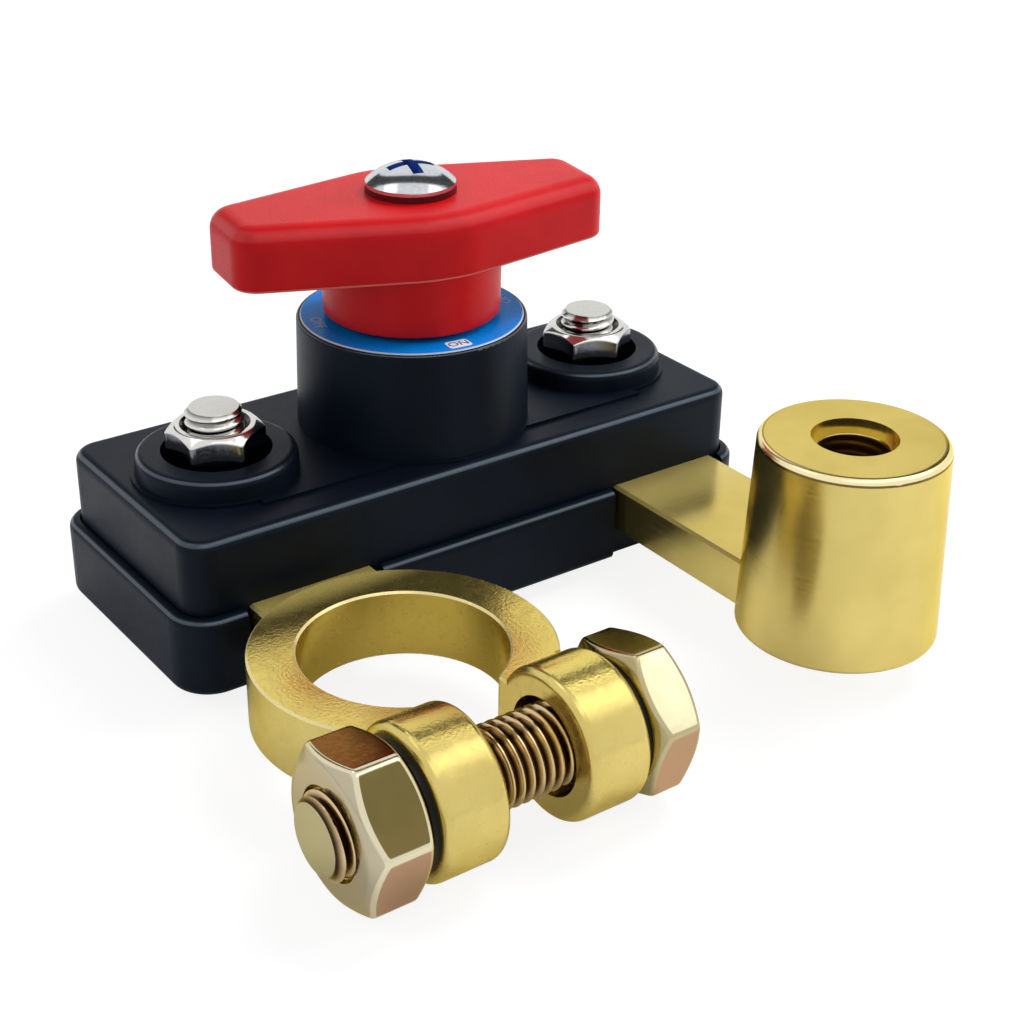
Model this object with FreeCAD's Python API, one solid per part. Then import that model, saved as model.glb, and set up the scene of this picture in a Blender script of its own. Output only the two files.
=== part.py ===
"""Battery disconnect switch with a split-ring battery clamp and a tapered output post.

Frame, in millimetres: +Z is up along the spindle, +X runs along the housing towards the
output post, -Y points from the housing to the clamp and the post. The origin lies on the
spindle's axis, in the plane of the housing's underside.
"""
import FreeCAD, Part
import math
import os

os.makedirs("parts", exist_ok=True)
V = FreeCAD.Vector
X_AXIS = V(1, 0, 0)
Z_AXIS = V(0, 0, 1)

# How near an edge has to lie to the place where it is looked for
tolerance = 0.01

# Housing: base tray and cover
housing_length = 64.5
housing_width = 26.0
base_height = 8.0
cover_height = 7.4
base_lip = 1.25
corner_radius = 2.7
cover_edge_round = 1.1
base_edge_round = 0.85
base_wall = 2.4
cover_wall = 2.0
cover_roof = 2.4
rebate_depth = 0.8
rebate_gap = 0.2
pad_height = 0.3
pad_half_width = 9.2
pad_margin = 0.25

# Collar round the spindle
collar_top_radius = 11.5
collar_foot_radius = 11.8
collar_rise = 11.3
collar_edge_round = 0.35
collar_roof = 2.5
guide_radius = 5.8
guide_gap = 1.1
skirt_wall = 1.5

# Stud bosses
stud_inset = 9.85
boss_radius = 7.75
boss_foot_flare = 0.3
boss_rise = 2.35
boss_edge_round = 0.8
boss_core_inset = 1.0
boss_recess_radius = 5.35
boss_recess_depth = 3.65

# Terminal bars
arm_width = 13.2
arm_thickness = 4.8
palm_width = 14.4
palm_front = -6.0
palm_screw_gap = 1.25
arm_edge = 0.3
arm_slot_gap = 0.15
rib_width = 1.2
table_half_width = 5.5
terminal_foot = 2.5
lip_notch_gap = 0.75

# Battery clamp
ring_x = -19.9
ring_y = -28.8
bore_radius = 9.4
ring_radius = 13.75
ring_height = 6.8
ring_edge = 0.2
clamp_gap = 8.0
split_corner_round = 0.8
lug_length = 6.3
lug_radius = 6.9
lug_edge_round = 0.85
bolt_y = -44.1
spot_face_gap = 0.4

# Output post
post_x = 22.95
post_y = -39.4
post_foot_radius = 9.75
post_top_radius = 9.0
post_height = 19.8
post_edge_round = 0.8
post_hole_radius = 3.4
post_hole_depth = 15.0
post_mouth_radius = 4.1
post_mouth_depth = 1.2

# Clamp bolt, eight millimetre thread
bolt_radius = 4.0
bolt_hole_gap = 0.5
bolt_tip_length = 1.3
bolt_tip_chamfer = 0.6
bolt_hex = 13.0
bolt_hex_crown = 0.46
bolt_head_height = 4.9
clamp_nut_height = 6.0
clamp_washer_radius = 5.9
clamp_washer_thickness = 0.6
clamp_nut_turn = 20.0
bolt_head_turn = 16.0

# Terminal studs, six millimetre thread
stud_radius = 3.0
stud_rise = 4.35
stud_tip_chamfer = 0.55
stud_head_hex = 9.0
stud_head_height = 2.4
stud_nut_hex = 8.4
stud_nut_crown = 0.49
stud_nut_height = 5.1
stud_nut_turn = 34.0
stud_washer_radius = 5.05
stud_washer_thickness = 1.2
stud_head_gap = 0.2
thread_gap = 0.05
thread_mouth = 0.45
hex_chamfer_slant = 30.0
hole_gap = 0.2

# Contacts
contact_width = 9.0
contact_thickness = 1.5
contact_inner_end = 5.6
contact_overhang = 4.8
contact_tip_chamfer = 1.0
contact_lift = 0.1
bridge_length = 17.8
bridge_width = 6.0
bridge_thickness = 1.6
bridge_slot_depth = 1.2
bridge_end_round = 0.7

# Rotor, spindle and spring
on_angle = -8.0
turn_range = 90.0
rotor_radius = 8.5
rotor_height = 4.1
rotor_lug_reach = 0.9
rotor_lug_arc = 16.0
rotor_lug_root = 1.0
stop_arc = 10.0
stop_margin = 2.0
running_gap = 0.05
side_gap = 0.3
spindle_radius = 4.0
spindle_flats = 5.6
spindle_foot_radius = 3.5
spindle_foot_flats = 5.1
spindle_inset = 2.8
drive_depth = 2.4
drive_gap = 0.03
spring_radius = 7.1
spring_wire = 1.1
spring_turns = 3.75
spring_seat_gap = 0.05
seal_wire = 1.5
seal_gap = 0.08
seal_recess_gap = 0.1

# Dial plate
dial_thickness = 0.45
dial_sink = 0.35
dial_radius = 11.15
dial_bore_radius = 5.0
dial_gap = 0.05
dial_edge = 0.12

# Handle
hub_foot_radius = 8.8
hub_top_radius = 8.9
hub_gap = 0.65
hub_height = 5.7
hub_foot_edge = 0.15
bar_thickness = 6.15
bar_half_length = 19.5
bar_end_half_width = 4.4
bar_middle_half_width = 9.1
bar_shoulder = 2.0
bar_end_round = 2.6
bar_shoulder_round = 10.0
bar_top_round = 2.0
bar_bottom_round = 0.5
handle_pad_radius = 4.4
handle_pad_height = 0.7
handle_pad_flare = 0.15
handle_pad_root = 0.5

# Handle screw
screw_radius = 2.5
screw_length = 11.0
screw_end_gap = 1.0
screw_head_radius = 4.4
screw_rim = 0.35
screw_dome = 1.75
recess_span = 4.6
recess_width = 1.1
recess_depth = 1.3
recess_turn = -5.0

# Cover screws, driven from below
cover_screw_radius = 1.45
cover_screw_head_radius = 2.7
cover_screw_head_height = 1.5
cover_screw_sink = 1.8
cover_screw_length = 10.6
cover_screw_head_round = 0.6
cover_screw_cross_width = 0.7
cover_screw_cross_reach = 1.3
cover_screw_cross_depth = 0.9
screw_post_radius = 3.0
screw_inset_x = 4.95
screw_inset_y = 3.8

# Places worked out from the sizes above
cover_top = base_height + cover_height
pad_top = cover_top + pad_height
ceiling = cover_top - cover_roof
half_length = housing_length / 2
half_width = housing_width / 2
stud_x = half_length - stud_inset
boss_top = cover_top + boss_rise
boss_recess_floor = boss_top - boss_recess_depth
stud_top = boss_top + stud_rise
arm_left_x = ring_x
arm_right_x = post_x
arm_top = base_height
base_floor = arm_top - arm_thickness
contact_top = arm_top + contact_thickness
contact_outer_end = stud_x + contact_overhang
bridge_bottom = contact_top + contact_lift
bridge_top = bridge_bottom + bridge_thickness
rotor_bottom = bridge_top - bridge_slot_depth
rotor_top = rotor_bottom + rotor_height
drum_radius = rotor_radius + rotor_lug_reach + side_gap
collar_top = cover_top + collar_rise
collar_ceiling = collar_top - collar_roof
guide_bottom = rotor_top + guide_gap
hub_bottom = collar_top + hub_gap
bar_bottom = hub_bottom + hub_height
bar_top = bar_bottom + bar_thickness
spindle_top = bar_top - spindle_inset
ring_bottom = terminal_foot
ring_top = ring_bottom + ring_height
bolt_z = (ring_bottom + ring_top) / 2
lug_in_left = ring_x - clamp_gap / 2
lug_out_left = lug_in_left - lug_length
lug_in_right = ring_x + clamp_gap / 2
lug_out_right = lug_in_right + lug_length
stud_head_top = base_floor + stud_head_gap + stud_head_height
washer_seat = boss_recess_floor + stud_washer_thickness
screw_seat = bar_top + handle_pad_height
rear_screw_x = half_length - screw_inset_x
front_screw_x = -arm_left_x - arm_width / 2 - screw_post_radius
screw_y = half_width - screw_inset_y
palm_back = screw_y - cover_screw_radius - palm_screw_gap
cover_screw_places = [(side * x, y) for x, y in ((rear_screw_x, screw_y), (front_screw_x, -screw_y))
                      for side in (-1, 1)]


def block(x0, x1, y0, y1, z0, z1):
    return Part.makeBox(x1 - x0, y1 - y0, z1 - z0, V(x0, y0, z0))


def rod(radius, z0, z1, x=0.0, y=0.0):
    return Part.makeCylinder(radius, z1 - z0, V(x, y, z0), Z_AXIS)


def rod_along_x(radius, x0, x1, y, z):
    return Part.makeCylinder(radius, x1 - x0, V(x0, y, z), X_AXIS)


def cone(r0, r1, z0, z1, x=0.0, y=0.0):
    return Part.makeCone(r0, r1, z1 - z0, V(x, y, z0), Z_AXIS)


def turned(shape, degrees, centre=V(0, 0, 0), axis=Z_AXIS):
    copy = shape.copy()
    copy.rotate(centre, axis, degrees)
    return copy


def moved(shape, x=0.0, y=0.0, z=0.0):
    copy = shape.copy()
    copy.translate(V(x, y, z))
    return copy


def laid_along_x(shape, x, y, z):
    """Turns a shape made along +Z so that its +Z points along +X, then moves it."""
    return moved(turned(shape, 90, axis=V(0, 1, 0)), x, y, z)


def is_upright(edge):
    box = edge.BoundBox
    return box.ZLength > tolerance and box.XLength < tolerance and box.YLength < tolerance


def edges_at(shape, z, test=lambda edge: True):
    """Edges that lie flat in the plane at height z."""
    return [e for e in shape.Edges
            if abs(e.BoundBox.ZMin - z) < tolerance and abs(e.BoundBox.ZMax - z) < tolerance and test(e)]


def rounded_block(length, width, z0, z1, radius):
    body = block(-length / 2, length / 2, -width / 2, width / 2, z0, z1)
    return body.makeFillet(radius, [e for e in body.Edges if is_upright(e)])


def revolved(points):
    """Turns a closed outline of (radius, height) points once round the Z axis."""
    wire = Part.makePolygon([V(r, 0, z) for r, z in points + points[:1]])
    return Part.Face(wire).revolve(V(0, 0, 0), Z_AXIS, 360)


def sector(r_in, r_out, z0, z1, middle, arc):
    """Part of a ring, arc degrees wide, centred on the angle middle."""
    outer = Part.makeCylinder(r_out, z1 - z0, V(0, 0, z0), Z_AXIS, arc)
    inner = rod(r_in, z0, z1)
    return turned(outer.cut(inner), middle - arc / 2)


def hex_corner(across_flats):
    return across_flats / (2 * math.cos(math.radians(30)))


def hex_blank(across_flats, height, crown=0.0):
    """Hexagonal prism along +Z from z = 0.

    Its corners are cut back at a slant down to the crown, a radius stated as a share of the
    size across flats. A crown of 0 leaves them sharp.
    """
    corner = hex_corner(across_flats)
    points = [V(corner * math.cos(math.radians(60 * k)), corner * math.sin(math.radians(60 * k)), 0)
              for k in range(7)]
    prism = Part.Face(Part.makePolygon(points)).extrude(V(0, 0, height))
    if not crown:
        return prism
    face_radius = crown * across_flats
    limit = corner + hole_gap
    drop = (limit - face_radius) * math.tan(math.radians(hex_chamfer_slant))
    outline = [(0, 0), (face_radius, 0), (limit, drop)]
    outline += [(limit, height - drop), (face_radius, height), (0, height)]
    return prism.common(revolved(outline))


def hex_nut(across_flats, height, crown, thread_radius):
    """Nut along +Z from z = 0, with its thread's mouth countersunk on both faces."""
    bore = thread_radius + thread_gap
    mouth = bore + thread_mouth
    nut = hex_blank(across_flats, height, crown).cut(rod(bore, 0, height))
    nut = nut.cut(cone(mouth, bore, 0, thread_mouth))
    return nut.cut(cone(bore, mouth, height - thread_mouth, height))


def washer(r_in, r_out, thickness):
    return rod(r_out, 0, thickness).cut(rod(r_in, 0, thickness))


def chamfered_rod(radius, z0, z1, chamfer):
    return revolved([(0, z0), (radius, z0), (radius, z1 - chamfer), (radius - chamfer, z1), (0, z1)])


def two_flats(radius, across, z0, z1):
    """Round bar with two parallel flats, the form that drives the rotor and the handle."""
    return rod(radius, z0, z1).common(block(-radius, radius, -across / 2, across / 2, z0, z1))


def make_base():
    """Tray with a lip all round, cut away where the two bars leave."""
    length = housing_length + 2 * base_lip
    width = housing_width + 2 * base_lip
    body = rounded_block(length, width, 0, base_height, corner_radius + base_lip)
    body = body.makeFillet(base_edge_round, edges_at(body, base_height) + edges_at(body, 0))
    seat = base_height - rebate_depth
    body = body.cut(rounded_block(housing_length + 2 * rebate_gap, housing_width + 2 * rebate_gap,
                                  seat, base_height, corner_radius + rebate_gap))
    inner_x = half_length - base_wall
    inner_y = half_width - base_wall
    body = body.cut(block(-inner_x, inner_x, -inner_y, inner_y, base_floor, base_height))
    # The table under the contacts, with a rib at each end that locates a terminal bar
    table_left = arm_left_x + arm_width / 2
    table_right = stud_x - palm_width / 2
    body = body.fuse(block(table_left, table_right, -table_half_width, table_half_width, base_floor, arm_top))
    for x0, x1 in ((table_left, table_left + rib_width), (table_right - rib_width, table_right)):
        body = body.fuse(block(x0, x1, -inner_y, palm_back, base_floor, seat))
    for x, y in cover_screw_places:
        body = body.fuse(rod(screw_post_radius, base_floor, seat, x, y))
    for arm_x, palm_x in ((arm_left_x, -stud_x), (arm_right_x, stud_x)):
        body = body.cut(bar_shape(arm_x, palm_x, -width, base_floor, base_height, arm_slot_gap))
        reach = arm_width / 2 + lip_notch_gap
        body = body.cut(block(arm_x - reach, arm_x + reach, -width, -half_width, 0, base_height))
    for x, y in cover_screw_places:
        body = body.cut(rod(cover_screw_head_radius + hole_gap, 0, cover_screw_sink, x, y))
        body = body.cut(rod(cover_screw_radius + hole_gap, 0, base_height, x, y))
    return body.removeSplitter()


def bar_shape(arm_x, palm_x, y_front, z0, z1, gap=0.0):
    """Terminal bar in plan: an arm that leaves the housing and a palm under the stud."""
    reach = arm_width / 2 + gap
    arm = block(arm_x - reach, arm_x + reach, y_front, 0, z0, z1)
    reach = palm_width / 2 + gap
    return arm.fuse(block(palm_x - reach, palm_x + reach, palm_front - gap, palm_back + gap, z0, z1))


def make_boss(x):
    foot = boss_radius + boss_foot_flare
    boss = cone(foot, boss_radius, cover_top - cover_roof, boss_top, x)
    return boss.makeFillet(boss_edge_round, edges_at(boss, boss_top))


def make_cover():
    """Cover, collar and stud bosses in one moulding, open below."""
    seat = base_height - rebate_depth
    shell = rounded_block(housing_length, housing_width, seat, cover_top, corner_radius)
    shell = shell.makeFillet(cover_edge_round, edges_at(shell, cover_top))
    pads = [block(-stud_x, stud_x, -pad_half_width, pad_half_width, ceiling, pad_top)]
    pad_radius = boss_radius + boss_foot_flare + pad_margin
    pads += [rod(pad_radius, ceiling, pad_top, side * stud_x) for side in (-1, 1)]
    pads += [rod(collar_foot_radius + pad_margin / 2, ceiling, pad_top)]
    for pad in pads:
        shell = shell.fuse(pad)
    collar = cone(collar_foot_radius, collar_top_radius, ceiling, collar_top)
    collar = collar.makeFillet(collar_edge_round, edges_at(collar, collar_top))
    shell = shell.fuse(collar)
    for side in (-1, 1):
        shell = shell.fuse(make_boss(side * stud_x))
    inner_x = half_length - cover_wall
    inner_y = half_width - cover_wall
    inside = block(-inner_x, inner_x, -inner_y, inner_y, seat, ceiling)
    skirt_bottom = contact_top + side_gap
    skirt = rod(drum_radius + skirt_wall, skirt_bottom, ceiling)
    keep = [skirt]
    keep += [rod(screw_post_radius, seat, ceiling, x, y) for x, y in cover_screw_places]
    keep += [rod(boss_radius - boss_core_inset, contact_top, ceiling, side * stud_x) for side in (-1, 1)]
    for solid in keep:
        inside = inside.cut(solid)
    shell = shell.cut(inside)
    # Drum for the rotor, with the spindle's guide hanging from the collar's roof
    drum = rod(drum_radius, skirt_bottom, collar_ceiling)
    drum = drum.cut(rod(guide_radius, guide_bottom, collar_ceiling))
    shell = shell.cut(drum)
    for angle in stop_angles():
        stop = sector(rotor_radius + side_gap, drum_radius + side_gap, bridge_top + side_gap, ceiling,
                      angle, stop_arc)
        shell = shell.fuse(stop)
    shell = shell.cut(rod(spindle_radius + running_gap, ceiling, collar_top))
    shell = shell.cut(rod(dial_radius + dial_gap, collar_top - dial_sink, collar_top))
    seal_top = collar_top - dial_sink
    seal_radius = spindle_radius + seal_gap + seal_wire + seal_recess_gap
    shell = shell.cut(rod(seal_radius, seal_top - seal_wire, seal_top))
    for side in (-1, 1):
        shell = shell.cut(rod(boss_recess_radius, boss_recess_floor, boss_top, side * stud_x))
        shell = shell.cut(rod(stud_radius + hole_gap, contact_top, boss_top, side * stud_x))
    for arm_x, palm_x in ((arm_left_x, -stud_x), (arm_right_x, stud_x)):
        shell = shell.cut(bar_shape(arm_x, palm_x, -housing_width, seat, arm_top, arm_slot_gap))
    reach_x = contact_outer_end + side_gap
    reach_y = contact_width / 2 + side_gap
    shell = shell.cut(block(-reach_x, reach_x, -reach_y, reach_y, seat, contact_top))
    for x, y in cover_screw_places:
        shell = shell.cut(rod(cover_screw_radius, seat, cover_screw_top(), x, y))
    return shell.removeSplitter()


def cover_screw_top():
    return cover_screw_sink + cover_screw_length


def stop_angles():
    """Angles of the two stops, either side of the rotor lug's travel."""
    reach = rotor_lug_arc / 2 + stop_arc / 2 + stop_margin
    start = 90 + on_angle
    return [start - reach, start + turn_range + reach]


def make_arm(arm_x, palm_x, y_front):
    """Terminal bar with its long top edges broken outside the housing."""
    bar = bar_shape(arm_x, palm_x, y_front, base_floor, arm_top).removeSplitter()
    long_edges = edges_at(bar, arm_top,
                          lambda e: e.BoundBox.XLength < tolerance and e.BoundBox.YMin < -half_width)
    return bar.makeChamfer(arm_edge, long_edges)


def cut_stud_seat(bar, x):
    """Stud hole with a hexagonal pocket below, which keeps the stud's head from turning."""
    bar = bar.cut(rod(stud_radius + hole_gap, base_floor, arm_top, x))
    pocket = hex_blank(stud_head_hex + hole_gap, stud_head_top - base_floor)
    return bar.cut(moved(pocket, x, 0, base_floor))


def clamp_opening():
    """Bore and split of the clamp as one cutter, with the corners between them rounded."""
    low = ring_bottom - lug_radius
    high = ring_top + lug_radius
    bore = rod(bore_radius, low, high, ring_x, ring_y)
    split = block(lug_in_left, lug_in_right, bolt_y - lug_radius, ring_y, low, high)
    opening = bore.fuse(split).removeSplitter()
    corners = [e for e in opening.Edges if is_upright(e) and e.BoundBox.YMin > ring_y - bore_radius
               and abs(abs(e.BoundBox.XMin - ring_x) - clamp_gap / 2) < tolerance]
    return opening.makeFillet(split_corner_round, corners)


def make_clamp_terminal():
    """Bar, split ring and the two bolt lugs, cast as one piece of brass."""
    opening = clamp_opening()
    ring = rod(ring_radius, ring_bottom, ring_top, ring_x, ring_y)
    body = make_arm(arm_left_x, -stud_x, ring_y).fuse(ring).cut(opening)
    body = body.makeChamfer(ring_edge, edges_at(body, ring_top) + edges_at(body, ring_bottom))
    for x0, x1 in ((lug_out_left, lug_in_left), (lug_in_right, lug_out_right)):
        lug = rod_along_x(lug_radius, x0, x1, bolt_y, bolt_z)
        lug = lug.makeFillet(lug_edge_round, [e for e in lug.Edges if e.BoundBox.XLength < tolerance])
        body = body.fuse(lug.cut(opening))
    # Spot faces that make room for the nut's and the head's corners beside the ring
    spot_radius = hex_corner(bolt_hex) + spot_face_gap
    for x0, x1 in ((lug_out_left - lug_radius, lug_out_left), (lug_out_right, lug_out_right + lug_radius)):
        body = body.cut(rod_along_x(spot_radius, x0, x1, bolt_y, bolt_z))
    body = body.cut(rod_along_x(bolt_radius + bolt_hole_gap, lug_out_left, lug_out_right, bolt_y, bolt_z))
    return cut_stud_seat(body, -stud_x).removeSplitter()


def make_post_terminal():
    """Bar and tapered post in one piece, the post bored and threaded from the top."""
    foot = terminal_foot
    top = foot + post_height
    post = cone(post_foot_radius, post_top_radius, foot, top, post_x, post_y)
    post = post.makeFillet(post_edge_round, edges_at(post, top))
    post = post.makeFillet(post_edge_round / 2, edges_at(post, foot))
    body = make_arm(arm_right_x, stud_x, post_y).fuse(post)
    body = body.cut(rod(post_hole_radius, top - post_hole_depth, top, post_x, post_y))
    body = body.cut(rod(post_mouth_radius, top - post_mouth_depth, top, post_x, post_y))
    return cut_stud_seat(body, stud_x).removeSplitter()


def make_stud(x):
    """Threaded stud whose hexagonal head lies in the bar's pocket."""
    low = base_floor + stud_head_gap
    head = moved(hex_blank(stud_head_hex, stud_head_height), 0, 0, low)
    shank = chamfered_rod(stud_radius, low, stud_top, stud_tip_chamfer)
    return moved(head.fuse(shank).removeSplitter(), x)


def make_stud_washer(x):
    ring = washer(stud_radius + hole_gap, stud_washer_radius, stud_washer_thickness)
    return moved(ring, x, 0, boss_recess_floor)


def make_stud_nut(x):
    nut = hex_nut(stud_nut_hex, stud_nut_height, stud_nut_crown, stud_radius)
    return moved(turned(nut, stud_nut_turn), x, 0, washer_seat)


def make_clamp_bolt():
    """Hexagon bolt that draws the two lugs together, its head on the right."""
    head_x = lug_out_right + clamp_washer_thickness
    tip_x = lug_out_left - clamp_washer_thickness - clamp_nut_height - bolt_tip_length
    length = head_x - tip_x
    head = moved(turned(hex_blank(bolt_hex, bolt_head_height, bolt_hex_crown), bolt_head_turn), 0, 0, length)
    shank = revolved([(0, 0), (bolt_radius - bolt_tip_chamfer, 0), (bolt_radius, bolt_tip_chamfer),
                      (bolt_radius, length), (0, length)])
    return laid_along_x(head.fuse(shank).removeSplitter(), tip_x, bolt_y, bolt_z)


def make_clamp_nut():
    nut = turned(hex_nut(bolt_hex, clamp_nut_height, bolt_hex_crown, bolt_radius), clamp_nut_turn)
    return laid_along_x(nut, lug_out_left - clamp_washer_thickness - clamp_nut_height, bolt_y, bolt_z)


def make_clamp_washer(x):
    """Split spring washer that starts at x and runs towards +X."""
    ring = washer(bolt_radius + hole_gap, clamp_washer_radius, clamp_washer_thickness)
    slit = block(0, clamp_washer_radius, -hole_gap, hole_gap, 0, clamp_washer_thickness)
    return laid_along_x(ring.cut(slit), x, bolt_y, bolt_z)


def make_contact(side):
    """Copper strip from the stud to the rotor, resting on the bar and the base's table."""
    strip = block(contact_inner_end, contact_outer_end, -contact_width / 2, contact_width / 2,
                  arm_top, contact_top)
    tip = [e for e in strip.Edges if is_upright(e) and e.BoundBox.XMin < contact_inner_end + tolerance]
    strip = strip.makeChamfer(contact_tip_chamfer, tip)
    strip = strip.cut(rod(stud_radius + hole_gap, arm_top, contact_top, stud_x))
    return strip if side > 0 else turned(strip, 180)


def make_bridge():
    """Copper bar across the rotor that joins the two contacts in the ON position."""
    bar = block(-bridge_length / 2, bridge_length / 2, -bridge_width / 2, bridge_width / 2,
                bridge_bottom, bridge_top)
    ends = [e for e in edges_at(bar, bridge_bottom) if e.BoundBox.XLength < tolerance]
    return turned(bar.makeFillet(bridge_end_round, ends), on_angle)


def make_rotor():
    """Insulating disc that holds the bridge below and is driven by the spindle."""
    body = rod(rotor_radius, rotor_bottom, rotor_top)
    lug = sector(rotor_radius - rotor_lug_root, rotor_radius + rotor_lug_reach, rotor_bottom, rotor_top,
                 90, rotor_lug_arc)
    body = body.fuse(lug)
    slot = block(-drum_radius, drum_radius, -bridge_width / 2, bridge_width / 2, rotor_bottom, bridge_top)
    body = body.cut(slot)
    socket = two_flats(spindle_foot_radius + drive_gap, spindle_foot_flats + 2 * drive_gap,
                       rotor_top - drive_depth, rotor_top)
    return turned(body.cut(socket).removeSplitter(), on_angle)


def make_spindle():
    """Turned steel spindle with flats at both ends and a threaded hole for the handle screw."""
    foot = rotor_top - drive_depth
    lower = two_flats(spindle_foot_radius, spindle_foot_flats, foot, guide_bottom)
    journal = rod(spindle_radius, guide_bottom, hub_bottom)
    upper = two_flats(spindle_radius, spindle_flats, hub_bottom, spindle_top)
    body = lower.fuse(journal).fuse(upper)
    hole_low = screw_seat - screw_length - screw_end_gap
    return turned(body.cut(rod(screw_radius + drive_gap, hole_low, spindle_top)).removeSplitter(), on_angle)


def make_spring():
    """Coil spring that presses the rotor down on the contacts."""
    low = rotor_top + spring_seat_gap + spring_wire / 2
    high = collar_ceiling - spring_seat_gap - spring_wire / 2
    path = Part.Wire(Part.makeHelix((high - low) / spring_turns, high - low, spring_radius).Edges)
    profile = Part.Wire(Part.makeCircle(spring_wire / 2, V(spring_radius, 0, 0), V(0, 1, 0)))
    return moved(path.makePipeShell([profile], True, True), 0, 0, low)


def make_seal():
    middle = spindle_radius + seal_gap + seal_wire / 2
    return Part.makeTorus(middle, seal_wire / 2, V(0, 0, collar_top - dial_sink - seal_wire / 2), Z_AXIS)


def make_dial_plate():
    low = collar_top - dial_sink
    plate = rod(dial_radius, low, low + dial_thickness)
    plate = plate.makeChamfer(dial_edge, edges_at(plate, low + dial_thickness))
    return plate.cut(rod(dial_bore_radius, low, low + dial_thickness))


def bar_outline():
    """Corners of the handle's bar in plan: widest at the hub, tapering to both ends."""
    end, shoulder = bar_half_length, bar_shoulder
    quarter = [(end, -bar_end_half_width), (end, bar_end_half_width), (shoulder, bar_middle_half_width)]
    return quarter + [(-shoulder, bar_middle_half_width), (-end, bar_end_half_width),
                      (-end, -bar_end_half_width), (-shoulder, -bar_middle_half_width),
                      (shoulder, -bar_middle_half_width)]


def make_handle():
    """Moulded grip: a lozenge bar on a round hub, with a raised seat for its screw."""
    corners = [V(x, y, bar_bottom) for x, y in bar_outline()]
    bar = Part.Face(Part.makePolygon(corners + corners[:1])).extrude(V(0, 0, bar_top - bar_bottom))
    upright = [e for e in bar.Edges if is_upright(e)]
    ends = [e for e in upright if abs(e.BoundBox.Center.x) > bar_half_length - tolerance]
    bar = bar.makeFillet(bar_end_round, ends)
    upright = [e for e in bar.Edges if is_upright(e)]
    shoulders = [e for e in upright if abs(e.BoundBox.Center.x) < bar_shoulder + tolerance]
    bar = bar.makeFillet(bar_shoulder_round, shoulders)
    bar = bar.makeFillet(bar_top_round, edges_at(bar, bar_top))
    bar = bar.makeFillet(bar_bottom_round, edges_at(bar, bar_bottom))
    hub = cone(hub_foot_radius, hub_top_radius, hub_bottom, bar_bottom + bar_bottom_round)
    hub = hub.makeChamfer(hub_foot_edge, edges_at(hub, hub_bottom))
    pad = cone(handle_pad_radius + handle_pad_flare, handle_pad_radius, bar_top - handle_pad_root, screw_seat)
    inside = rod(drum_radius, hub_bottom, bar_top - bar_top_round)
    body = bar.fuse(hub.fuse(inside.common(bar))).fuse(pad)
    flats = spindle_flats + 2 * drive_gap
    body = body.cut(two_flats(spindle_radius + drive_gap, flats, hub_bottom, spindle_top))
    body = body.cut(rod(screw_radius + drive_gap, hub_bottom, screw_seat))
    return turned(body.removeSplitter(), on_angle)


def make_handle_screw():
    """Domed screw with a cross recess that holds the handle on the spindle."""
    rim_top = screw_seat + screw_rim
    crown = (screw_head_radius ** 2 + screw_dome ** 2) / (2 * screw_dome)
    ball = Part.makeSphere(crown, V(0, 0, rim_top + screw_dome - crown))
    dome = ball.common(rod(screw_head_radius, rim_top, rim_top + screw_dome))
    head = rod(screw_head_radius, screw_seat, rim_top).fuse(dome)
    body = head.fuse(chamfered_rod(screw_radius, -screw_length, 0, 0).translated(V(0, 0, screw_seat)))
    floor = rim_top + screw_dome - recess_depth
    for angle in (0, 90):
        arm = block(-recess_span / 2, recess_span / 2, -recess_width / 2, recess_width / 2,
                    floor, floor + screw_dome + recess_depth)
        body = body.cut(turned(arm, angle + recess_turn))
    return turned(body.removeSplitter(), on_angle)


def make_cover_screw(x, y):
    """Pan-head screw driven up through the base into the cover."""
    low = cover_screw_sink - cover_screw_head_height
    head = rod(cover_screw_head_radius, low, cover_screw_sink)
    head = head.makeFillet(cover_screw_head_round, edges_at(head, low))
    body = head.fuse(rod(cover_screw_radius - running_gap, cover_screw_sink, cover_screw_top()))
    for angle in (0, 90):
        arm = block(-cover_screw_cross_reach, cover_screw_cross_reach, -cover_screw_cross_width / 2,
                    cover_screw_cross_width / 2, low, low + cover_screw_cross_depth)
        body = body.cut(turned(arm, angle))
    return moved(body.removeSplitter(), x, y)


def save(name, shape):
    solids = shape.Solids
    if len(solids) != 1 or not solids[0].isValid():
        raise ValueError("%s: %d solids, valid %s" % (name, len(solids), shape.isValid()))
    solids[0].exportStep("parts/%s.step" % name)
    print("%-20s %9.1f mm3" % (name, solids[0].Volume))


save("base", make_base())
save("cover", make_cover())
save("clamp_terminal", make_clamp_terminal())
save("post_terminal", make_post_terminal())
for name, side in (("left", -1), ("right", 1)):
    save("stud_" + name, make_stud(side * stud_x))
    save("stud_washer_" + name, make_stud_washer(side * stud_x))
    save("stud_nut_" + name, make_stud_nut(side * stud_x))
    save("contact_" + name, make_contact(side))
save("clamp_bolt", make_clamp_bolt())
save("clamp_nut", make_clamp_nut())
save("clamp_washer_nut", make_clamp_washer(lug_out_left - clamp_washer_thickness))
save("clamp_washer_head", make_clamp_washer(lug_out_right))
save("contact_bridge", make_bridge())
save("rotor", make_rotor())
save("spindle", make_spindle())
save("rotor_spring", make_spring())
save("spindle_seal", make_seal())
save("dial_plate", make_dial_plate())
save("handle", make_handle())
save("handle_screw", make_handle_screw())
for number, (x, y) in enumerate(cover_screw_places, 1):
    save("cover_screw_%d" % number, make_cover_screw(x, y))
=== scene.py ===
"""Looks of the battery disconnect switch: camera, studio, threads, nuts, dial marks and materials.

Lengths in this script are written in millimetres and turned into metres where a mesh is made.
"""

import math

import bmesh
import bpy
import numpy as np
from mathutils import Matrix, Vector


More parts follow.
